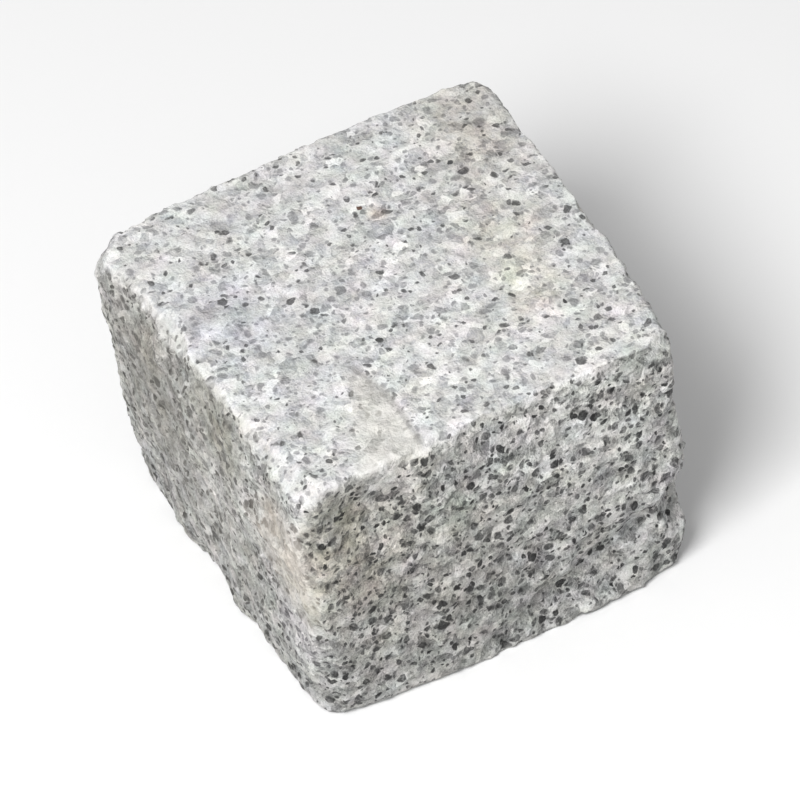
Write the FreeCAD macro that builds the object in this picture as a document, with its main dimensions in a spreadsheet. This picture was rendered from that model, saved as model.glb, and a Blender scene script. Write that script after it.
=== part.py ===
"""Granite paving sett: one stone, split on four sides, with a flat head to walk on and a flat bed.

The block is lofted through four level outlines, from the head down to the bed. Each outline has four
corners, set in from the overall block and cut off a little, and four sides that bow outwards or inwards.
The arrises of the head are then worn round, the bed is chamfered, and flake scars are scooped out.
Millimetres, +Z up, origin at the middle of the overall block on the bed.
"""

import FreeCAD, Part
import os
from math import hypot
import Sketcher

CORNERS = ("front_left", "front_right", "back_right", "back_left")
SIDES = ("front", "right", "back", "left")

# Which way each corner and each side faces, along X and Y.
OUTWARD = {
    "front_left": (-1, -1),
    "front_right": (1, -1),
    "back_right": (1, 1),
    "back_left": (-1, 1),
    "front": (0, -1),
    "right": (1, 0),
    "back": (0, 1),
    "left": (-1, 0),
}

# An edge this close to a level counts as lying on it.
SLACK = 0.01

# Overall block, the dressing of its edges, and the levels between bed and head.
BLOCK = {
    "length": 100.0,
    "width": 100.0,
    "height": 70.0,
    "heel_height": 13.0,
    "belly_height": 44.0,
    "corner_cut": 2.8,
    "arris_radius": 1.2,
    "bed_chamfer": 1.4,
}
LEVEL_HEIGHTS = {
    "head": "sizes.height",
    "belly": "sizes.belly_height",
    "heel": "sizes.heel_height",
    "bed": "0",
}

# How far each corner stands in from the overall block along X and Y, in the order of CORNERS.
CORNER_INSETS = {
    "head": ((1.6, 4.2), (5.4, 3.4), (0.2, 2.0), (0.2, 3.0)),
    "belly": ((1.2, 2.8), (5.0, 3.0), (0.2, 2.6), (0.2, 4.0)),
    "heel": ((2.6, 2.4), (3.2, 2.6), (3.0, 5.0), (3.8, 6.4)),
    "bed": ((3.6, 3.6), (4.4, 3.4), (5.0, 7.6), (5.2, 9.6)),
}

# How far the middle of each side stands proud of the line between its corners, in the order of SIDES.
SIDE_BOWS = {
    "head": (-1.2, 1.1, 2.8, -0.4),
    "belly": (1.0, 0.9, 1.4, 0.4),
    "heel": (2.2, -1.4, 1.6, 0.6),
    "bed": (3.6, -1.0, 1.4, 0.8),
}

# Flake scars: the level and the side or corner that each is struck from, and its sizes. "along" is
# measured from the middle of a side, "drop" below the level, "tilt" is how many degrees the blow leans
# up, and "depth" is how far the scoop of the given "radius" bites in from the struck point.
SCARS = {
    "left_arris_spall": ("head", "left", dict(along=-35.0, tilt=48.0, radius=34.0, depth=3.4)),
    "front_arris_nick": ("head", "front", dict(along=-16.0, tilt=40.0, radius=9.0, depth=1.7)),
    "front_lip_hollow": ("head", "front", dict(along=-32.0, drop=8.0, tilt=-6.0, radius=30.0, depth=0.6)),
    "front_right_spall": ("head", "front_right", dict(tilt=40.0, radius=26.0, depth=4.4)),
    "back_left_spall": ("head", "back_left", dict(tilt=40.0, radius=24.0, depth=3.4)),
    "front_right_notch": ("belly", "front_right", dict(drop=23.5, tilt=2.0, radius=12.0, depth=5.8)),
    "front_foot_hollow": ("heel", "front", dict(along=24.0, tilt=4.0, radius=45.0, depth=2.8)),
    "front_foot_step": ("belly", "front", dict(along=33.0, drop=27.0, tilt=6.0, radius=14.0, depth=1.9)),
    "front_toe_hollow": ("heel", "front", dict(along=13.0, drop=4.0, tilt=4.0, radius=17.0, depth=2.4)),
    "left_foot_hollow": ("bed", "left", dict(along=6.0, tilt=-12.0, radius=32.0, depth=2.6)),
    "left_foot_nick": ("bed", "left", dict(along=-18.0, tilt=-25.0, radius=24.0, depth=2.0)),
    "right_hollow": ("belly", "right", dict(along=14.0, drop=8.0, tilt=2.0, radius=90.0, depth=2.0)),
    "right_shell": ("head", "right", dict(along=-22.0, drop=22.0, tilt=-3.0, radius=65.0, depth=3.0)),
    "right_foot_spall": ("bed", "right", dict(along=-20.0, tilt=-35.0, radius=30.0, depth=3.0)),
    "back_hollow": ("belly", "back", dict(along=-12.0, drop=4.0, tilt=4.0, radius=80.0, depth=2.2)),
    "back_shell": ("head", "back", dict(along=24.0, drop=22.0, tilt=-3.0, radius=70.0, depth=3.8)),
    "back_foot_spall": ("bed", "back", dict(along=20.0, tilt=-40.0, radius=26.0, depth=3.2)),
    "back_right_notch": ("belly", "back_right", dict(drop=12.0, tilt=6.0, radius=30.0, depth=4.2)),
}


def fill_sheet():
    """Write every driving size to an aliased cell of its own."""
    values = dict(BLOCK)
    for level, insets in CORNER_INSETS.items():
        for corner, (inset_x, inset_y) in zip(CORNERS, insets):
            values[f"{level}_{corner}_x"] = inset_x
            values[f"{level}_{corner}_y"] = inset_y
        for side, bow in zip(SIDES, SIDE_BOWS[level]):
            values[f"{level}_{side}_bow"] = bow
    for scar, (_, _, scar_sizes) in SCARS.items():
        for size, value in scar_sizes.items():
            values[f"{scar}_{size}"] = value
    for row, (alias, value) in enumerate(values.items(), start=1):
        sheet.set(f"A{row}", alias)
        sheet.set(f"B{row}", str(value))
        sheet.setAlias(f"B{row}", alias)
    doc.recompute()


def corner_place(level, corner):
    """Expressions for a corner's X and Y at a level."""
    out_x, out_y = OUTWARD[corner]
    x = f"{out_x} * (sizes.length / 2 - sizes.{level}_{corner}_x)"
    y = f"{out_y} * (sizes.width / 2 - sizes.{level}_{corner}_y)"
    return x, y


def side_ends(side):
    """The corners that a side runs between."""
    first = SIDES.index(side)
    return CORNERS[first], CORNERS[(first + 1) % len(CORNERS)]


def side_middle(level, side):
    """Expressions for the middle of a bowed side at a level."""
    (start_x, start_y), (end_x, end_y) = (corner_place(level, corner) for corner in side_ends(side))
    out_x, out_y = OUTWARD[side]
    bow = f"sizes.{level}_{side}_bow"
    x = f"({start_x} + {end_x}) / 2 + {out_x} * {bow}"
    y = f"({start_y} + {end_y}) / 2 + {out_y} * {bow}"
    return x, y


def point_at(place):
    """The point that a pair of expressions gives now."""
    x, y = (float(sheet.evalExpression(expression)) for expression in place)
    return FreeCAD.Vector(x, y, 0)


def attach_level(feature, height):
    """Lay a sketch or a primitive level, at a height above the bed."""
    plane = next(item for item in body.Origin.OriginFeatures if item.Role == "XY_Plane")
    feature.AttachmentSupport = (plane, [""])
    feature.MapMode = "FlatFace"
    feature.setExpression("AttachmentOffset.Base.z", height)


def place_point(sketch, geometry, vertex, place):
    """Hold a sketch point at a pair of expressions, measured from the origin."""
    for axis, expression in zip(("DistanceX", "DistanceY"), place):
        value = float(sheet.evalExpression(expression))
        index = sketch.addConstraint(Sketcher.Constraint(axis, -1, 1, geometry, vertex, value))
        sketch.setExpression(f"Constraints[{index}]", expression)


def add_mark(sketch, place):
    """A construction point, held in place, for curves to pass through."""
    mark = sketch.addGeometry(Part.Point(point_at(place)), True)
    place_point(sketch, mark, 1, place)
    return mark


def add_side(sketch, level, side, corner_marks):
    """The shallow arc along one side. Gives the arc's end vertex at each of its two corners."""
    start, end = side_ends(side)
    middle = side_middle(level, side)
    if float(sheet.evalExpression(f"sizes.{level}_{side}_bow")) < 0:
        start, end = end, start
    start_point, end_point = (point_at(corner_place(level, corner)) for corner in (start, end))
    trim = (end_point - start_point).normalize() * float(sheet.corner_cut)
    arc = sketch.addGeometry(Part.ArcOfCircle(start_point + trim, point_at(middle), end_point - trim))
    for mark in (corner_marks[start], corner_marks[end], add_mark(sketch, middle)):
        sketch.addConstraint(Sketcher.Constraint("PointOnObject", mark, 1, arc))
    return {start: (arc, 1), end: (arc, 2)}


def add_corner(sketch, corner_mark, incoming, outgoing):
    """The straight cut across one corner, between the ends of the sides that meet there."""
    cut = sketch.addGeometry(Part.LineSegment(sketch.getPoint(*incoming), sketch.getPoint(*outgoing)))
    for vertex, side_end in enumerate((incoming, outgoing), start=1):
        sketch.addConstraint(Sketcher.Constraint("Coincident", *side_end, cut, vertex))
        length = Sketcher.Constraint("Distance", corner_mark, 1, cut, vertex, float(sheet.corner_cut))
        sketch.setExpression(f"Constraints[{sketch.addConstraint(length)}]", "sizes.corner_cut")


def level_outline(level):
    """The stone's outline at one level: a shallow arc along each side, and a cut across each corner."""
    sketch = body.newObject("Sketcher::SketchObject", f"{level}_outline")
    attach_level(sketch, LEVEL_HEIGHTS[level])
    corner_marks = {corner: add_mark(sketch, corner_place(level, corner)) for corner in CORNERS}
    ends = [add_side(sketch, level, side, corner_marks) for side in SIDES]
    for index, corner in enumerate(CORNERS):
        add_corner(sketch, corner_marks[corner], ends[index - 1][corner], ends[index][corner])
    doc.recompute()
    print(f"{level} outline: {sketch.solve()} left over from solving, {len(sketch.Shape.Edges)} edges")
    return sketch


def loft_block():
    """The raw block, through the level outlines from head to bed."""
    outlines = [level_outline(level) for level in LEVEL_HEIGHTS]
    block = body.newObject("PartDesign::AdditiveLoft", "split_block")
    block.Profile = outlines[0]
    block.Sections = outlines[1:]
    block.Ruled = False
    doc.recompute()
    return block


def dress_edges(feature_type, size_property, size, base, level):
    """Round or chamfer the edges of a feature that run round the head or the bed."""
    height = float(sheet.evalExpression(LEVEL_HEIGHTS[level]))
    edges = []
    for number, edge in enumerate(base.Shape.Edges, start=1):
        if abs(edge.BoundBox.ZMin - height) < SLACK and abs(edge.BoundBox.ZMax - height) < SLACK:
            edges.append(f"Edge{number}")
    dressing = body.newObject(f"PartDesign::{feature_type}", f"{level}_edges")
    dressing.Base = (base, edges)
    dressing.setExpression(size_property, f"sizes.{size}")
    doc.recompute()
    return dressing


def strike_scar(scar):
    """Scoop one flake scar out of the stone."""
    level, struck, scar_sizes = SCARS[scar]
    before = body.Shape.Volume
    out_x, out_y = OUTWARD[struck]
    if struck in SIDES:
        middle_x, middle_y = side_middle(level, struck)
        x = middle_x if out_x else f"sizes.{scar}_along"
        y = middle_y if out_y else f"sizes.{scar}_along"
    else:
        x, y = corner_place(level, struck)
    z = LEVEL_HEIGHTS[level]
    if "drop" in scar_sizes:
        z += f" - sizes.{scar}_drop"
    reach = f"(sizes.{scar}_radius - sizes.{scar}_depth)"
    level_reach = f"{reach} * cos(sizes.{scar}_tilt) / {hypot(out_x, out_y)}"
    scoop = body.newObject("PartDesign::SubtractiveSphere", scar)
    scoop.setExpression("Radius", f"sizes.{scar}_radius")
    attach_level(scoop, f"{z} + {reach} * sin(sizes.{scar}_tilt)")
    scoop.setExpression("AttachmentOffset.Base.x", f"{x} + {out_x} * {level_reach}")
    scoop.setExpression("AttachmentOffset.Base.y", f"{y} + {out_y} * {level_reach}")
    doc.recompute()
    print(f"{scar}: {before - body.Shape.Volume:.0f} cubic mm struck off")


def check_document():
    """Stop if any object failed, or if the stone is not one valid solid."""
    for item in doc.Objects:
        if {"Invalid", "Error"} & set(item.State):
            raise RuntimeError(f"{item.Label} failed to build")
    if body.Shape.isNull() or not body.Shape.isValid() or len(body.Shape.Solids) != 1:
        raise RuntimeError(f"{body.Label} is not one valid solid")


doc = FreeCAD.newDocument("granite_sett")
sheet = doc.addObject("Spreadsheet::Sheet", "sizes")
fill_sheet()

body = doc.addObject("PartDesign::Body", "granite_sett")
body.Label = "granite_sett"
stone = loft_block()
stone = dress_edges("Fillet", "Radius", "arris_radius", stone, "head")
stone = dress_edges("Chamfer", "Size", "bed_chamfer", stone, "bed")
for scar_name in SCARS:
    strike_scar(scar_name)
check_document()

os.makedirs("parts", exist_ok=True)
body.Shape.exportStep(f"parts/{body.Label}.step")
print(f"{body.Label}: {body.Shape.Volume / 1000:.1f} cubic cm, {body.Shape.BoundBox}")
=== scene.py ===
import math
import random
import bmesh
import bpy
import numpy as np
from mathutils import Euler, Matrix, Vector, geometry, kdtree, noise


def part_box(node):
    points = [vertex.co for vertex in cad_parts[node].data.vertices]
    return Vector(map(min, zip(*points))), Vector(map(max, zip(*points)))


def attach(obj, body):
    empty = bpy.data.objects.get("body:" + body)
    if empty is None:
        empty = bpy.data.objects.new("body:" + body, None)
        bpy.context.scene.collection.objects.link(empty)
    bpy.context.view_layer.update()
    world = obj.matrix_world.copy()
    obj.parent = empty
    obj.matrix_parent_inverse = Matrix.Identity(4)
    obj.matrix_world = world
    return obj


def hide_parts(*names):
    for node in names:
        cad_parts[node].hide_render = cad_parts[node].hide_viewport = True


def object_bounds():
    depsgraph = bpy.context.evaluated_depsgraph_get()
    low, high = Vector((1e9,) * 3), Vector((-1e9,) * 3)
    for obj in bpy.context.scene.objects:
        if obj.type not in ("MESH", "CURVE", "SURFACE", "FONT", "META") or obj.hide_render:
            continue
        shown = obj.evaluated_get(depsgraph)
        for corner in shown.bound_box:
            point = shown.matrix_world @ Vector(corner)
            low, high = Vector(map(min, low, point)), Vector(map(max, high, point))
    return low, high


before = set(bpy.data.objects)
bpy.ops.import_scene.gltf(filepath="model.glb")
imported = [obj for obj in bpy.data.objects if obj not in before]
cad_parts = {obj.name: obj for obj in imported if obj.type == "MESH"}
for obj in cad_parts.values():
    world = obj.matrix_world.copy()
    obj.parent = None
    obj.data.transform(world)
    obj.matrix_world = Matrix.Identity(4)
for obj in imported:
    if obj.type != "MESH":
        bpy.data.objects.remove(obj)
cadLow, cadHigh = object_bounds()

mm = 0.001
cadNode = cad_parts["granite_sett"]
blockEnds = [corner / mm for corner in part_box("granite_sett")]
headHeight = blockEnds[1].z

# the stone's mesh, every length in mm
settStone = {
    "merge": 0.01,   # points of the CAD mesh that lie closer than this become one
    "flakeGrid": 0.60,
    "grid": 0.72,
    "crisp": 0.7,   # how far edges are drawn out again after the grid has rounded them
    "seed": 14,
    "rounds": {"normals": 4, "crisp": 3, "worn": 24, "hollow": 10, "dressed": 2},   # of smoothing, by use
    # flakes broken off by chance: how many, radius of the shell, how deep it bites, how far it leans
    "sideShells": (150, (25.0, 110.0), (0.4, 1.3), 0.06),
    "arrisChips": (190, (2.0, 8.0), (0.2, 0.9), 0.35),
    "headPits": (420, (1.6, 5.0), (0.15, 0.5), 0.20),
    "soundFoot": 16.0,   # no shell comes off the sides lower than this
    # arrises that chips come off, as the two axes held at an end: the head's more often than the uprights
    "arrises": ((0, 1), (0, 2), (1, 2), (0, 2), (1, 2)),
    # flakes that the photo shows: point, way out, radius of the shell, how deep it bites, how white it is
    "struck": (
        ((-50.0, 34.0, 68.8), (-0.7, 0.1, 0.7), 12.0, 1.0, 0.7),
        ((-50.0, 25.0, 68.4), (-0.7, 0.0, 0.7), 16.0, 1.6, 0.9),
        ((-49.6, 14.0, 68.0), (-0.72, 0.05, 0.69), 22.0, 2.2, 0.9),
        ((-49.8, 3.0, 69.0), (-0.7, 0.1, 0.7), 6.0, 0.9, 0.7),
        ((-49.5, -7.0, 68.6), (-0.7, 0.0, 0.7), 15.0, 1.5, 0.8),
        ((-49.4, -22.0, 68.4), (-0.68, -0.05, 0.73), 18.0, 1.8, 0.8),
        ((-49.2, -35.0, 68.2), (-0.7, -0.15, 0.7), 12.0, 2.0, 1.0),
        ((-46.5, -44.5, 68.6), (-0.5, -0.5, 0.7), 9.0, 1.4, 1.0),
        ((-41.0, -39.5, 70.0), (0.1, 0.2, 0.95), 9.0, 0.6, 0.0),
        ((-33.0, -46.6, 69.4), (0.0, -0.5, 0.85), 6.0, 0.6, 0.7),
        ((-18.0, -47.2, 69.4), (-0.1, -0.7, 0.7), 4.5, 0.9, 0.3),
        ((44.0, -45.5, 68.8), (0.3, -0.6, 0.75), 14.0, 1.3, 0.3),
    ),
    "whitened": (0.1, 0.5),   # depths between which such a flake turns white
    # the fine crack that runs in over the head, and the crease above the front's foot:
    # route, width, depth
    "headCrack": (((-18.0, -46.0), (-16.8, -26.7), (-19.5, -16.0)), 1.2, 0.40),
    "frontCrease": (((44.0, 25.0), (22.0, 15.0), (5.0, 9.0), (-4.0, 5.0)), 5.0, 0.9),
    # the smooth patch beside the crack: how wide it is at the crack's two ends, how deep it lies
    "patchWide": (22.0, 3.0),
    "patchDeep": 0.35,
    "patchRim": 0.7,   # how far from the crack it is all smooth
    "patchEnds": (0.06, 0.8),   # shares of the crack's length at which it has begun and starts to fade
    "patchDrop": 3.0,   # it reaches no lower than this below the head
    # arrises that were crushed white: two ends, width, share
    "lips": (
        ((-45.5, -46.5, headHeight), (-19.0, -46.0, headHeight), 2.6, 0.9),
        ((-49.5, -44.0, headHeight), (-50.0, 40.0, headHeight), 2.0, 0.25),
        ((-19.0, -46.0, headHeight), (44.0, -46.5, headHeight), 1.3, 0.5),
        ((-40.0, -49.0, 1.5), (42.0, -48.5, 1.5), 2.2, 0.5),
    ),
    "lipRagged": (4.0, 0.7, 3),   # how their outline wanders: across, as a share, octaves
    # relief in waves: how far across, how high, octaves
    "splitWave": (30.0, 0.60, 3),
    "headWave": (28.0, 0.28, 4),
    "waveStart": (9.1, 3.7, 5.3),
    # relief in facets: how far across, how high
    "splitFacets": ((11.0, 0.48), (4.6, 0.44), (2.1, 0.36)),
    "headFacets": ((4.0, 0.14), (1.6, 0.15)),
    "facetBend": (0.25, 1.7),   # how far their outlines wander, as a share of their size, and how often
    "facetLuck": 7.31,
    # stone that is lost: how far across, how deep, how far past half of the surface it spreads, octaves
    "bedRough": (9.0, 0.5, 0.25, 4),
    "arrisWear": (5.0, 0.45, 0.0, 3),
    # fractal noise: how its octaves fade, how much finer each one is
    "waveFractal": (0.9, 2.1),
    "crumbFractal": (0.8, 2.0),
    # how far a surface is turned to a side where that side's finish starts and where it is whole
    "turned": {"level": (0.55, 0.9), "crack": (0.5, 0.8), "lip": (0.1, 0.4), "dressed": (0.50, 0.62)},
    "headRim": (-4.5, -3.5),   # heights from the head down, where the head's finish starts and is whole
    "sharp": (0.0, 0.2),   # how far normals part on a surface that isn't worn and on one that is
}


def bareStone():
    blank = bmesh.new()
    blank.from_mesh(cadNode.data)
    bmesh.ops.remove_doubles(blank, verts=blank.verts, dist=settStone["merge"] * mm)
    mesh = bpy.data.meshes.new("splitStone")
    blank.to_mesh(mesh)
    blank.free()
    stone = bpy.data.objects.new("splitStone", mesh)
    bpy.context.scene.collection.objects.link(stone)
    return stone


def regrid(stone, size):
    grid = stone.modifiers.new("grid", "REMESH")
    grid.mode = "VOXEL"
    grid.voxel_size = size * mm
    shown = stone.evaluated_get(bpy.context.evaluated_depsgraph_get())
    fine = bpy.data.meshes.new_from_object(shown)
    stone.modifiers.clear()
    rough = stone.data
    stone.data = fine
    bpy.data.meshes.remove(rough)
    fine.name = "splitStone"
    print("grid:", len(fine.vertices), "points,", len(fine.polygons), "faces")


# values on the points, evened out along the edges
def softened(values, edges, use):
    count = np.bincount(edges.ravel(), minlength=len(values))
    for _ in range(settStone["rounds"][use]):
        total = np.zeros_like(values)
        for axis in range(values.shape[1]):
            first = np.bincount(edges[:, 0], values[edges[:, 1], axis], len(values))
            second = np.bincount(edges[:, 1], values[edges[:, 0], axis], len(values))
            total[:, axis] = first + second
        values = 0.5 * values + 0.5 * total / count[:, None]
    return values


def readPoints(mesh):
    points = [vert.co / mm for vert in mesh.vertices]
    edges = np.array([edge.vertices[:] for edge in mesh.edges])
    facing = np.array([vert.normal[:] for vert in mesh.vertices])
    normals = [Vector(row).normalized() for row in softened(facing, edges, "normals")]
    return points, normals, edges, facing


def placePoints(mesh, points):
    mesh.vertices.foreach_set("co", [part * mm for point in points for part in point])
    mesh.update()


def plantTree(points):
    tree = kdtree.KDTree(len(points))
    for index, point in enumerate(points):
        tree.insert(point, index)
    tree.balance()
    return tree


def smoothStep(low, high, value):
    share = min(1.0, max(0.0, (value - low) / (high - low)))
    return share * share * (3.0 - 2.0 * share)


def ramp(values, span):
    low, high = span
    return np.clip((values - low) / (high - low), 0.0, 1.0)


def turnedTo(kind, value):
    return smoothStep(*settStone["turned"][kind], value)


def spread(draw, span):
    return span[0] * (span[1] / span[0]) ** draw.random()


def strikeSpot(draw, kind):
    spot = Vector(draw.uniform(low, high) for low, high in zip(*blockEnds))
    if kind == "headPits":
        held = (2,)
    elif kind == "sideShells":
        held = (draw.choice((0, 1)),)
        spot.z = draw.uniform(settStone["soundFoot"], headHeight)
    else:
        held = draw.choice(settStone["arrises"])
    for axis in held:
        spot[axis] = headHeight if axis == 2 else draw.choice(blockEnds)[axis]
    return spot


def breakFlakes(stone):
    draw = random.Random(settStone["seed"])
    whole, normals, _, _ = readPoints(stone.data)
    points = [point.copy() for point in whole]
    white = [0.0] * len(points)
    tree = plantTree(whole)

    def scoop(place, out, radius, bite, crushed=0.0):
        centre = place + out.normalized() * (radius - bite)
        for _, index, _ in tree.find_range(centre, radius):
            away = whole[index] - centre
            cut = min(radius - away.length, bite)
            if cut > (whole[index] - points[index]).length:
                points[index] = whole[index] + away.normalized() * cut
                white[index] = crushed * smoothStep(*settStone["whitened"], cut)

    for kind in ("sideShells", "arrisChips", "headPits"):
        count, radii, bites, lean = settStone[kind]
        for _ in range(count):
            index = tree.find(strikeSpot(draw, kind))[1]
            out = normals[index].copy()
            out.rotate(Euler([draw.gauss(0.0, lean) for _ in range(3)]))
            scoop(whole[index], out, spread(draw, radii), spread(draw, bites))
        print("flakes:", count, kind)
    for place, out, radius, bite, crushed in settStone["struck"]:
        scoop(Vector(place), Vector(out), radius, bite, crushed)
    placePoints(stone.data, points)
    return points, white


def facet(point, size, tall):
    far, often = settStone["facetBend"]
    spot = (point + far * size * noise.noise_vector(point * often / size)) / size
    _, seeds = noise.voronoi(spot)
    turn = noise.noise_vector(seeds[0] * settStone["facetLuck"])
    return tall * (turn.x + (spot - seeds[0]).dot(turn))


def facets(kind, point):
    return sum(facet(point, size, tall) for size, tall in settStone[kind])


def wave(kind, point):
    size, tall, octaves = settStone[kind]
    spot = point / size + Vector(settStone["waveStart"])
    return tall * noise.fractal(spot, *settStone["waveFractal"], octaves)


def crumbled(point, size, octaves):
    return noise.fractal(point / size, *settStone["crumbFractal"], octaves)


def lost(kind, point, share):
    size, deep, more, octaves = settStone[kind]
    return share * deep * max(0.0, more + crumbled(point, size, octaves))


def awayFrom(point, start, end):
    share = geometry.intersect_point_line(point, start, end)[1]
    return (point - start.lerp(end, min(1.0, max(0.0, share)))).length


def crackShare(kind, across, up):
    route, wide, _ = settStone[kind]
    spots = [Vector((*spot, 0.0)) for spot in route]
    here = Vector((across, up, 0.0))
    nearest = min(awayFrom(here, start, end) for start, end in zip(spots, spots[1:]))
    return 1.0 - smoothStep(0.0, wide, nearest)


def crackAt(point, normal):
    head = turnedTo("crack", normal.z) * crackShare("headCrack", point.x, point.y)
    front = turnedTo("crack", -normal.y) * crackShare("frontCrease", point.x, point.z)
    return head, front


def patchShare(point):
    if point.z < headHeight - settStone["patchDrop"]:
        return 0.0
    front, middle, back = (Vector(spot) for spot in settStone["headCrack"][0])
    start, end = (front, middle) if point.y < middle.y else (middle, back)
    edge = start.lerp(end, (point.y - start.y) / (end.y - start.y)).x - point.x
    along = (point.y - front.y) / (back.y - front.y)
    first, last = settStone["patchWide"]
    wide = first + (last - first) * min(1.0, max(0.0, along))
    begun, fading = settStone["patchEnds"]
    ends = smoothStep(0.0, begun, along) * (1.0 - smoothStep(fading, 1.0, along))
    rim = smoothStep(0.0, settStone["patchRim"], edge)
    return ends * rim * (1.0 - smoothStep(0.5 * wide, wide, edge))


def lipShare(point, normal):
    size, far, octaves = settStone["lipRagged"]
    ragged = 1.0 + far * crumbled(point, size, octaves)
    shares = [0.0]
    for start, end, width, share in settStone["lips"]:
        away = ragged * awayFrom(point, Vector(start), Vector(end))
        shares.append(share * (1.0 - smoothStep(0.5 * width, width, away)))
    return max(shares) * turnedTo("lip", normal.z)


def reliefAt(point, normal, worn):
    headShare = turnedTo("level", normal.z)
    bedShare = turnedTo("level", -normal.z)
    sideShare = max(0.0, 1.0 - headShare - bedShare)
    height = 0.0
    if sideShare > 0.0:
        height += sideShare * (wave("splitWave", point) + facets("splitFacets", point))
    if headShare > 0.0:
        sunk = settStone["patchDeep"] * patchShare(point)
        height += headShare * (wave("headWave", point) - sunk + facets("headFacets", point))
    if bedShare > 0.0:
        height -= lost("bedRough", point, bedShare)
    height -= lost("arrisWear", point, worn)
    for kind, share in zip(("headCrack", "frontCrease"), crackAt(point, normal)):
        height -= settStone[kind][2] * share
    return height


def weatherStone(stone, broken, white):
    noise.seed_set(settStone["seed"])
    mesh = stone.data
    points, normals, edges, facing = readPoints(mesh)
    placed = np.array(points)
    drawn = placed + settStone["crisp"] * (placed - softened(placed, edges, "crisp"))
    points = [Vector(row) for row in drawn]
    parting = 1.0 - np.linalg.norm(softened(facing, edges, "worn"), axis=1)
    worn = ramp(parting, settStone["sharp"])
    tree = plantTree(broken)
    fresh = [white[tree.find(point)[1]] for point in points]
    for index, point in enumerate(points):
        points[index] = point + normals[index] * reliefAt(point, normals[index], worn[index])
        points[index].z = max(0.0, points[index].z)   # nothing reaches below the bed
    placePoints(mesh, points)
    print("relief laid on", len(points), "points")
    crack = [crackAt(point, normal)[0] for point, normal in zip(points, normals)]
    patch = [patchShare(point) for point in points]
    lips = [lipShare(point, normal) for point, normal in zip(points, normals)]
    crushed = np.maximum(lips, fresh)
    markSurface(mesh, edges, {"worn": worn, "crack": crack, "patch": patch, "crushed": crushed})


# what the granite's material reads from the mesh
def markSurface(mesh, edges, marks):
    placed = np.array([vert.co[:] for vert in mesh.vertices]) / mm
    normals = np.array([vert.normal[:] for vert in mesh.vertices])
    hollow = np.einsum("ij,ij->i", softened(placed, edges, "hollow") - placed, normals)
    level = ramp(softened(normals, edges, "dressed")[:, 2], settStone["turned"]["dressed"])
    dressed = level * ramp(placed[:, 2] - headHeight, settStone["headRim"])
    for name, values in {"hollow": hollow, "dressed": dressed, **marks}.items():
        mesh.attributes.new(name, "FLOAT", "POINT").data.foreach_set("value", values)
    smooth = softened(normals, edges, "normals").ravel()
    mesh.attributes.new("facing", "FLOAT_VECTOR", "POINT").data.foreach_set("vector", smooth)
    mesh.shade_smooth()
    print("hollow from", round(hollow.min(), 2), "to", round(hollow.max(), 2), "mm")


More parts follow.
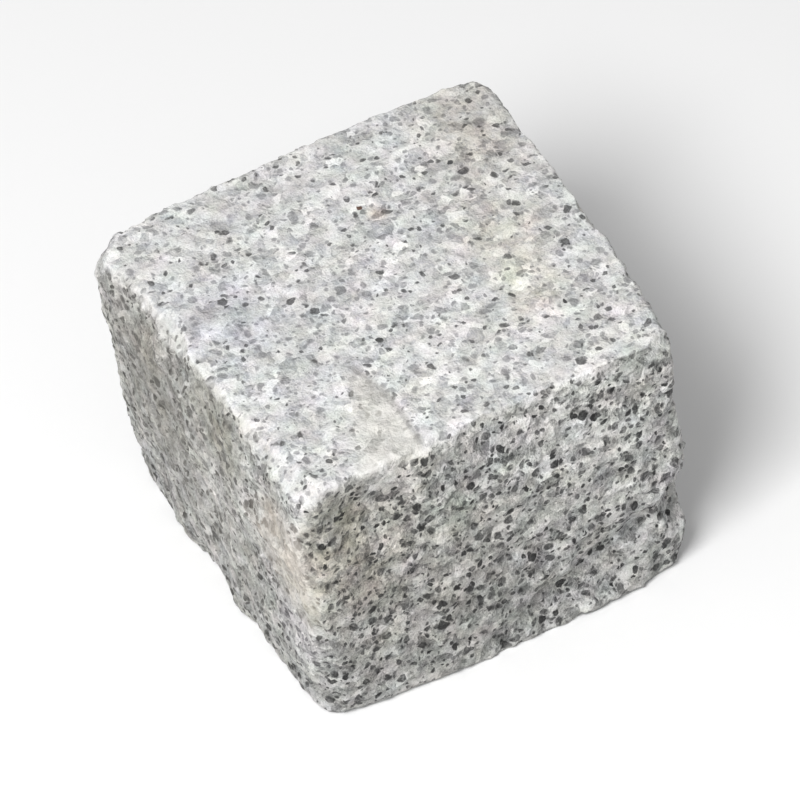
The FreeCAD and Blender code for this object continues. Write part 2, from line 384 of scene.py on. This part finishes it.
# the granite, lengths in mm and colours linear; a cloud is its size, detail and roughness
greyGranite = {
    "bend": (((3.5, 1.0, 0.6), 1.2), ((0.8, 1.0, 0.6), 0.3)),   # how grains' outlines wander: cloud, how far
    "grains": (2.6, 1.25),
    # what picks a grain's mineral, from dark to light: two clouds, and the share of each thing
    "veins": (2.9, 4.0, 0.65),
    "dust": (0.5, 2.0, 0.6),
    "pick": {"veins": 1.4, "crystal": 0.30, "grain": 0.35, "dust": 0.8},
    "greyPick": (1.13, 1.34),   # picks between which quartz gives way to grey
    "whitePick": (1.41, 1.64),   # picks between which grey gives way to white
    # dark mica: how far apart its grains lie, the largest as a share of that, where they start
    "flecks": ((2.6, 0.46, (31.0, 7.0, 12.0)), (1.6, 0.45, (5.0, 43.0, 21.0))),
    "fleckLeast": 0.1,
    "fleckEdge": 0.06,
    "fleckLuck": (0.25, 1.0),   # draws at which a grain is the least and the largest
    "blackLuck": (0.70, 0.80),   # draws between which a grain turns black
    "bleached": 0.02,   # how much smaller they show on the head
    # uneven shares and tones: cloud, its span, what that span becomes
    "uneven": {
        "crowds": ((7.0, 2.0, 0.6), (0.32, 0.68), (0.09, -0.09)),   # how much smaller mica's grains show
        "flaky": ((0.7, 2.0, 0.6), (0.32, 0.6), (0.6, 1.0)),
        "mottle": ((5.0, 3.0, 0.6), (0.3, 0.6), (0.4, 1.0)),
        "fineTone": ((0.45, 3.0, 0.7), (0.3, 0.7), (0.84, 1.14)),
        "broadTone": ((9.0, 4.0, 0.65), (0.3, 0.7), (0.81, 1.16)),
        "ragged": ((2.0, 3.0, 0.5), (0.40, 0.58), (0.0, 1.0)),
    },
    "grainTone": (0.92, 1.08),
    "hues": ((6.0, 2.0, 0.6), (0.16, 0.12, 0.16), (0.92, 0.94, 0.92)),   # cloud, span, least
    "split": {
        "white": (0.66, 0.655, 0.635),
        "grey": (0.46, 0.46, 0.445),
        "quartz": (0.25, 0.25, 0.245),
        "mica": (0.065, 0.065, 0.065),
        "black": (0.025, 0.025, 0.025),
    },
    "head": {
        "white": (0.71, 0.71, 0.695),
        "grey": (0.64, 0.64, 0.63),
        "quartz": (0.50, 0.505, 0.515),
        "mica": (0.29, 0.29, 0.295),
        "black": (0.11, 0.11, 0.11),
    },
    "paleChips": 0.95,   # how far the crushed arrises take the head's minerals
    "crushed": (0.775, 0.765, 0.74),
    "proud": (0.05, -0.15),   # hollows between which worn arrises turn white
    "chipShare": 0.25,
    "lipShare": (0.10, 0.50),
    "footShade": (4.0, 40.0, 0.86, 1.03),   # painted shade: the split sides darker towards the bed, between two heights and their tones
    "hollowShade": (-0.30, 0.30, 1.10, 0.86),   # two hollows and their tones: painted shade in the hollows, painted light on the crests
    "sheen": (0.2, 0.8, 0.55, 0.88),   # two draws and the roughness of such a grain
    "specular": 0.4,
    # fine relief: cloud of the crumbs, their height, the grains' tilt, depth, share on sides and head
    "bump": {"crumbs": (0.9, 3.0, 0.7), "high": 0.8, "tilt": 0.9, "deep": 1.0, "split": 1.0, "head": 0.65},
    # stains and painted shading: side, middle, reach, tint that the stone is multiplied by
    "stainsAndPaintedShading": (
        ("head", (40.0, 40.0, headHeight), 16.0, (0.87, 0.84, 0.79)),
        ("head", (35.0, 25.0, headHeight), 14.0, (0.90, 0.87, 0.82)),
        ("head", (29.0, 3.0, headHeight), 16.0, (0.99, 0.95, 0.88)),
        ("head", (25.5, -13.3, headHeight), 11.0, (0.99, 0.97, 0.89)),
        ("head", (23.8, -22.2, headHeight), 8.0, (1.02, 0.95, 0.91)),
        ("head", (-35.0, 9.0, headHeight), 18.0, (0.94, 0.95, 1.0)),
        ("head", (-6.0, 21.0, headHeight), 14.0, (1.09, 1.09, 1.09)),
        ("head", (-4.0, -30.0, headHeight), 20.0, (1.08, 1.08, 1.07)),
        ("head", (35.0, -40.0, headHeight), 14.0, (1.10, 1.10, 1.08)),
        ("head", (8.7, 22.3, headHeight), 3.2, (1.0, 0.92, 0.82)),
        # painted shadow: the dark patch under the front arris at the left corner. The front's other darker
        # and lighter patches are partly painted shade and painted light, partly stains; its warm and
        # greenish tints are stains
        ("front", (-24.0, -47.0, 38.0), 40.0, (0.84, 0.82, 0.79)),
        ("front", (-14.0, -48.0, 8.0), 22.0, (0.90, 0.90, 0.89)),
        ("front", (-40.0, -47.0, 61.0), 13.0, (0.66, 0.66, 0.60)),
        ("front", (19.0, -47.0, 52.0), 26.0, (1.13, 1.13, 1.12)),
        ("front", (34.0, -47.0, 63.0), 9.0, (0.84, 0.83, 0.81)),
        ("front", (-42.0, -47.0, 47.0), 20.0, (0.99, 0.95, 0.88)),
        ("front", (-14.5, -47.0, 49.0), 9.0, (0.90, 0.96, 0.92)),
        # painted shade and painted light: the left side's darker patches under its arris and its lighter
        # ones low towards the front corner, partly stains where they are warm
        ("left", (-50.0, 22.0, 46.0), 30.0, (0.60, 0.59, 0.57)),
        ("left", (-50.0, 22.0, 59.0), 8.0, (0.82, 0.76, 0.70)),
        ("left", (-51.0, 18.0, 48.0), 10.0, (0.72, 0.72, 0.71)),
        ("left", (-49.0, 14.0, 25.0), 13.0, (0.80, 0.80, 0.82)),
        ("left", (-50.0, -9.0, 60.0), 16.0, (0.52, 0.51, 0.45)),
        ("left", (-50.0, -31.0, 53.0), 6.0, (0.66, 0.60, 0.54)),
        ("left", (-50.0, -15.0, 27.0), 7.0, (0.72, 0.71, 0.69)),
        ("left", (-50.0, -2.0, 36.0), 12.0, (1.32, 1.32, 1.30)),
        ("left", (-50.0, -40.0, 46.0), 11.0, (1.36, 1.33, 1.26)),
        ("left", (-48.0, -36.0, 25.0), 11.0, (1.34, 1.31, 1.34)),
    ),
    # thin films of dust, and painted shade: side, middle, reach, colour, share
    "dustAndShadeFilms": (
        # painted shade: a wide dark film over most of the left side; the warmer films after it are dust and
        # stains
        ("left", (-54.0, 8.0, 40.0), 60.0, (0.36, 0.345, 0.305), 0.36),
        ("left", (-52.0, -38.0, 44.0), 20.0, (0.66, 0.595, 0.52), 0.62),
        ("left", (-50.0, -42.0, 33.0), 12.0, (0.54, 0.52, 0.42), 0.40),
        ("left", (-48.0, -38.0, 22.0), 11.0, (0.50, 0.48, 0.52), 0.35),
    ),
    "stainAndShadeCore": 0.3,   # the share of its reach that a stain, a film or a patch of painted shade covers whole
    "sides": {"front": (0.0, -1.0, 0.0), "left": (-1.0, 0.0, 0.0)},
    "sideTurned": (0.5, 0.8),   # how far a surface is turned to a side where its stains and painted shading start and are whole
    # single dark grains that stand out on the head: middle, radius, colour
    "specks": (
        ((5.7, 25.1, headHeight), 0.9, (0.13, 0.075, 0.055)),
        ((-10.7, -11.8, headHeight), 1.0, (0.06, 0.06, 0.06)),
        ((29.6, 27.6, headHeight), 0.8, (0.07, 0.07, 0.07)),
        ((29.9, -23.5, headHeight), 0.9, (0.06, 0.06, 0.06)),
    ),
    "speckCore": 0.8,
    # the patch's own colour, and the crack's painted shade: colour, share
    "patchTintAndCrackShade": {"patch": ((0.69, 0.67, 0.615), 0.6), "crack": ((0.30, 0.29, 0.27), 0.65)},
}
halfway = (0.5, 0.5, 0.5)   # the middle of a colour that is drawn by chance


def newMaterial(name):
    material = bpy.data.materials.new(name)
    material.use_nodes = True
    material.node_tree.nodes.clear()
    return material, material.node_tree


def wire(tree, kind, feeds, out=0, **settings):
    made = tree.nodes.new("ShaderNode" + kind)
    for name, value in settings.items():
        setattr(made, name, value)
    for key, value in feeds.items():
        if isinstance(value, bpy.types.NodeSocket):
            tree.links.new(value, made.inputs[key])
        else:
            made.inputs[key].default_value = value
    return made.outputs[out]


def showSurface(tree, feeds):
    shader = wire(tree, "BsdfPrincipled", feeds)
    tree.links.new(shader, tree.nodes.new("ShaderNodeOutputMaterial").inputs["Surface"])


def calc(tree, operation, *feeds):
    return wire(tree, "Math", dict(enumerate(feeds)), operation=operation)


def times(tree, value, *shares):
    for share in shares:
        value = calc(tree, "MULTIPLY", value, share)
    return value


def moved(tree, operation, *feeds):
    return wire(tree, "VectorMath", dict(enumerate(feeds)), operation=operation)


def measured(tree, operation, first, second):
    return wire(tree, "VectorMath", {0: first, 1: second}, "Value", operation=operation)


def remap(tree, value, fromLow, fromHigh, toLow=0.0, toHigh=1.0):
    feeds = {"Value": value, "From Min": fromLow, "From Max": fromHigh, "To Min": toLow, "To Max": toHigh}
    return wire(tree, "MapRange", feeds, clamp=True)


def opaque(colour):
    return colour if isinstance(colour, bpy.types.NodeSocket) else (*colour, 1.0)


def blend(tree, factor, first, second, mode="MIX"):
    feeds = {0: factor, 6: opaque(first), 7: opaque(second)}
    return wire(tree, "Mix", feeds, 2, data_type="RGBA", blend_type=mode)


def tinted(tree, colour, tint, share=1.0):
    return blend(tree, share, colour, tint, "MULTIPLY")


def cloud(tree, at, kind, out=0):
    size, detail, rough = kind
    feeds = {"Vector": at, "Scale": 1.0 / size, "Detail": detail, "Roughness": rough}
    return wire(tree, "TexNoise", feeds, out)


def uneven(tree, at, name):
    kind, span, becomes = greyGranite["uneven"][name]
    return remap(tree, cloud(tree, at, kind), *span, *becomes)


def cells(tree, at, size):
    return wire(tree, "TexVoronoi", {"Vector": at, "Scale": 1.0 / size}, "Color").node.outputs


def parts(tree, colour):
    return wire(tree, "SeparateColor", {0: colour}).node.outputs


def mark(tree, name, out="Fac"):
    return wire(tree, "Attribute", {}, out, attribute_name=name)


def bentSpace(tree, at):
    for kind, far in greyGranite["bend"]:
        drift = moved(tree, "SUBTRACT", cloud(tree, at, kind, "Color"), halfway)
        at = moved(tree, "MULTIPLY_ADD", drift, (2.0 * far, 2.0 * far, 2.0 * far), at)
    return at


def micaFlecks(tree, at, bent, dressed):
    look = greyGranite
    less = calc(tree, "MULTIPLY_ADD", dressed, look["bleached"], uneven(tree, at, "crowds"))
    mica = black = 0.0
    for apart, largest, start in look["flecks"]:
        seed = cells(tree, moved(tree, "ADD", bent, start), apart)
        luck = parts(tree, seed["Color"])
        reach = remap(tree, luck[0], *look["fleckLuck"], look["fleckLeast"], largest)
        outside = calc(tree, "SUBTRACT", calc(tree, "ADD", seed["Distance"], less), reach)
        inside = remap(tree, outside, look["fleckEdge"], -look["fleckEdge"])
        darker = times(tree, inside, remap(tree, luck[1], *look["blackLuck"]))
        mica = calc(tree, "MAXIMUM", mica, inside)
        black = calc(tree, "MAXIMUM", black, darker)
    flaky = uneven(tree, bent, "flaky")
    return times(tree, mica, flaky), times(tree, black, flaky)


def mineralPick(tree, at, bent, grain, crystal):
    share = greyGranite["pick"]
    pick = times(tree, cloud(tree, bent, greyGranite["veins"]), share["veins"])
    pick = calc(tree, "MULTIPLY_ADD", parts(tree, crystal["Color"])[0], share["crystal"], pick)
    pick = calc(tree, "MULTIPLY_ADD", parts(tree, grain["Color"])[0], share["grain"], pick)
    return calc(tree, "MULTIPLY_ADD", cloud(tree, at, greyGranite["dust"]), share["dust"], pick)


def mineralColour(tree, minerals, pick, tone, mica, black):
    grey = remap(tree, pick, *greyGranite["greyPick"])
    white = remap(tree, pick, *greyGranite["whitePick"])
    ground = blend(tree, grey, minerals["quartz"], minerals["grey"])
    ground = tinted(tree, blend(tree, white, ground, minerals["white"]), tone)
    return blend(tree, black, blend(tree, mica, ground, minerals["mica"]), minerals["black"])


def nearTo(tree, at, middle, reach, core, most=1.0):
    return remap(tree, measured(tree, "DISTANCE", at, middle), reach, core * reach, 0.0, most)


# lays on the stains, dust films and dark grains, and the painted shade and painted light of the front and
# left sides
def stainedAndShaded(tree, at, bent, colour, dressed):
    look = greyGranite
    core = look["stainAndShadeCore"]
    mottle = uneven(tree, at, "mottle")
    shares = {"head": times(tree, dressed, mottle)}
    for side, out in look["sides"].items():
        facing = measured(tree, "DOT_PRODUCT", mark(tree, "facing", "Vector"), out)
        shares[side] = times(tree, remap(tree, facing, *look["sideTurned"]), mottle)
    for side, middle, reach, tint in look["stainsAndPaintedShading"]:
        share = times(tree, nearTo(tree, at, middle, reach, core), shares[side])
        colour = tinted(tree, colour, tint, share)
    for side, middle, reach, film, most in look["dustAndShadeFilms"]:
        share = times(tree, nearTo(tree, at, middle, reach, core, most), shares[side])
        colour = blend(tree, share, colour, film)
    for middle, radius, grain in look["specks"]:
        colour = blend(tree, nearTo(tree, bent, middle, radius, look["speckCore"]), colour, grain)
    return colour


def blendedAtMark(tree, colour, name):
    markColour, most = greyGranite["patchTintAndCrackShade"][name]
    return blend(tree, times(tree, mark(tree, name), most), colour, markColour)


def graniteTone(tree, at, luck):
    tone = times(tree, uneven(tree, at, "fineTone"), uneven(tree, at, "broadTone"))
    return times(tree, tone, remap(tree, luck, 0.0, 1.0, *greyGranite["grainTone"]))


def crushedShare(tree, at, hollow):
    look = greyGranite
    ragged = uneven(tree, at, "ragged")
    proud = remap(tree, hollow, *look["proud"])
    chips = times(tree, mark(tree, "worn"), proud, ragged, look["chipShare"])
    lips = times(tree, mark(tree, "crushed"), remap(tree, ragged, 0.0, 1.0, *look["lipShare"]))
    return calc(tree, "MAXIMUM", chips, lips)


def grainBump(tree, at, bent, grain, dressed):
    bump = greyGranite["bump"]
    local = moved(tree, "SUBTRACT", bent, grain["Position"])
    lean = moved(tree, "SUBTRACT", grain["Color"], halfway)
    tilt = measured(tree, "DOT_PRODUCT", local, lean)
    crumbs = times(tree, cloud(tree, at, bump["crumbs"]), bump["high"])
    height = calc(tree, "MULTIPLY_ADD", tilt, bump["tilt"], crumbs)
    strength = remap(tree, dressed, 0.0, 1.0, bump["split"], bump["head"])
    return wire(tree, "Bump", {"Strength": strength, "Distance": bump["deep"] * mm, "Height": height})


def graniteColour(tree, at, bent, grain, crystal, dressed):
    look = greyGranite
    hollow = mark(tree, "hollow")
    tone = graniteTone(tree, at, parts(tree, grain["Color"])[1])
    pick = mineralPick(tree, at, bent, grain, crystal)
    mica, black = micaFlecks(tree, at, bent, dressed)
    split = mineralColour(tree, look["split"], pick, tone, mica, black)
    height = wire(tree, "SeparateXYZ", {0: at}, "Z")
    # painted shade: the split sides darker towards the bed
    split = tinted(tree, split, remap(tree, height, *look["footShade"]))
    head = mineralColour(tree, look["head"], pick, tone, mica, black)
    pale = calc(tree, "MAXIMUM", dressed, times(tree, mark(tree, "crushed"), look["paleChips"]))
    colour = blend(tree, pale, split, head)
    kind, span, least = look["hues"]
    hues = moved(tree, "MULTIPLY_ADD", cloud(tree, at, kind, "Color"), span, least)
    colour = stainedAndShaded(tree, at, bent, tinted(tree, colour, hues), dressed)
    colour = blendedAtMark(tree, colour, "patch")
    # painted shade in the hollows, painted light on the crests
    colour = tinted(tree, colour, remap(tree, hollow, *look["hollowShade"]))
    colour = blend(tree, crushedShare(tree, at, hollow), colour, look["crushed"])
    # painted shade along the crack in the head
    return blendedAtMark(tree, colour, "crack")


def graniteMaterial():
    material, tree = newMaterial("greyGranite")
    place = wire(tree, "TexCoord", {}, "Object")
    at = wire(tree, "Mapping", {"Vector": place, "Scale": (1.0 / mm, 1.0 / mm, 1.0 / mm)})
    bent = bentSpace(tree, at)
    dressed = mark(tree, "dressed")
    grain, crystal = (cells(tree, bent, size) for size in greyGranite["grains"])
    feeds = {
        "Base Color": graniteColour(tree, at, bent, grain, crystal, dressed),
        "Roughness": remap(tree, parts(tree, grain["Color"])[2], *greyGranite["sheen"]),
        "Normal": grainBump(tree, at, bent, grain, dressed),
        "Specular IOR Level": greyGranite["specular"],
    }
    showSurface(tree, feeds)
    print("granite:", len(tree.nodes), "nodes")
    return material


# the studio, lengths in metres
studio = {
    "floor": {"radius": 6.0, "segments": 96, "colour": (0.88, 0.88, 0.88), "rough": 0.9, "specular": 0.2},
    "sky": 0.45,
    "key": {"place": (-0.62, -0.42, 0.95), "size": 0.5, "power": 13.9},
}

# the photo's view, angles in degrees, the lens and its sensor in mm
photoView = {
    "azimuth": -27.0,
    "elevation": 45.6,
    "distance": 2.337,
    "lean": 3.65,
    "lens": 478.0,
    "sensor": 36.0,
    "clip": 50.0,
}


def plainFloor():
    look = studio["floor"]
    material, tree = newMaterial("paleFloor")
    feeds = {
        "Base Color": opaque(look["colour"]),
        "Roughness": look["rough"],
        "Specular IOR Level": look["specular"],
    }
    showSurface(tree, feeds)
    disc = bmesh.new()
    bmesh.ops.create_circle(disc, cap_ends=True, segments=look["segments"], radius=look["radius"])
    mesh = bpy.data.meshes.new("paleFloor")
    disc.to_mesh(mesh)
    disc.free()
    mesh.materials.append(material)
    floor = bpy.data.objects.new("paleFloor", mesh)
    bpy.context.scene.collection.objects.link(floor)


def softLight():
    world = bpy.data.worlds.new("softSky")
    world.use_nodes = True
    background = world.node_tree.nodes["Background"]
    background.inputs["Color"].default_value = (1.0, 1.0, 1.0, 1.0)
    background.inputs["Strength"].default_value = studio["sky"]
    scene = bpy.context.scene
    scene.world = world
    scene.view_settings.view_transform = "Standard"
    key = studio["key"]
    lamp = bpy.data.lights.new("keyLight", "AREA")
    lamp.size = key["size"]
    lamp.energy = key["power"]
    light = bpy.data.objects.new("keyLight", lamp)
    light.location = key["place"]
    light.rotation_euler = (-Vector(key["place"])).to_track_quat("-Z", "Y").to_euler()
    light.visible_camera = False
    scene.collection.objects.link(light)


def photoCamera():
    data = bpy.data.cameras.new("photoCamera")
    data.lens = photoView["lens"]
    data.sensor_width = photoView["sensor"]
    data.clip_end = photoView["clip"]
    camera = bpy.data.objects.new("photoCamera", data)
    azimuth = math.radians(photoView["azimuth"])
    elevation = math.radians(photoView["elevation"])
    level = math.cos(elevation)
    back = Vector((math.sin(azimuth) * level, -math.cos(azimuth) * level, math.sin(elevation)))
    camera.location = (cadLow + cadHigh) / 2 + back * photoView["distance"]
    turn = (-back).to_track_quat("-Z", "Y")
    lean = Euler((0.0, 0.0, -math.radians(photoView["lean"]))).to_quaternion()
    camera.rotation_euler = (turn @ lean).to_euler()
    bpy.context.scene.collection.objects.link(camera)
    bpy.context.scene.camera = camera


stone = bareStone()
regrid(stone, settStone["flakeGrid"])
broken, white = breakFlakes(stone)
regrid(stone, settStone["grid"])
weatherStone(stone, broken, white)
stone.data.materials.append(graniteMaterial())
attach(stone, "root")
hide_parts("granite_sett")
plainFloor()
softLight()
photoCamera()
print("studio: floor, light and camera set")
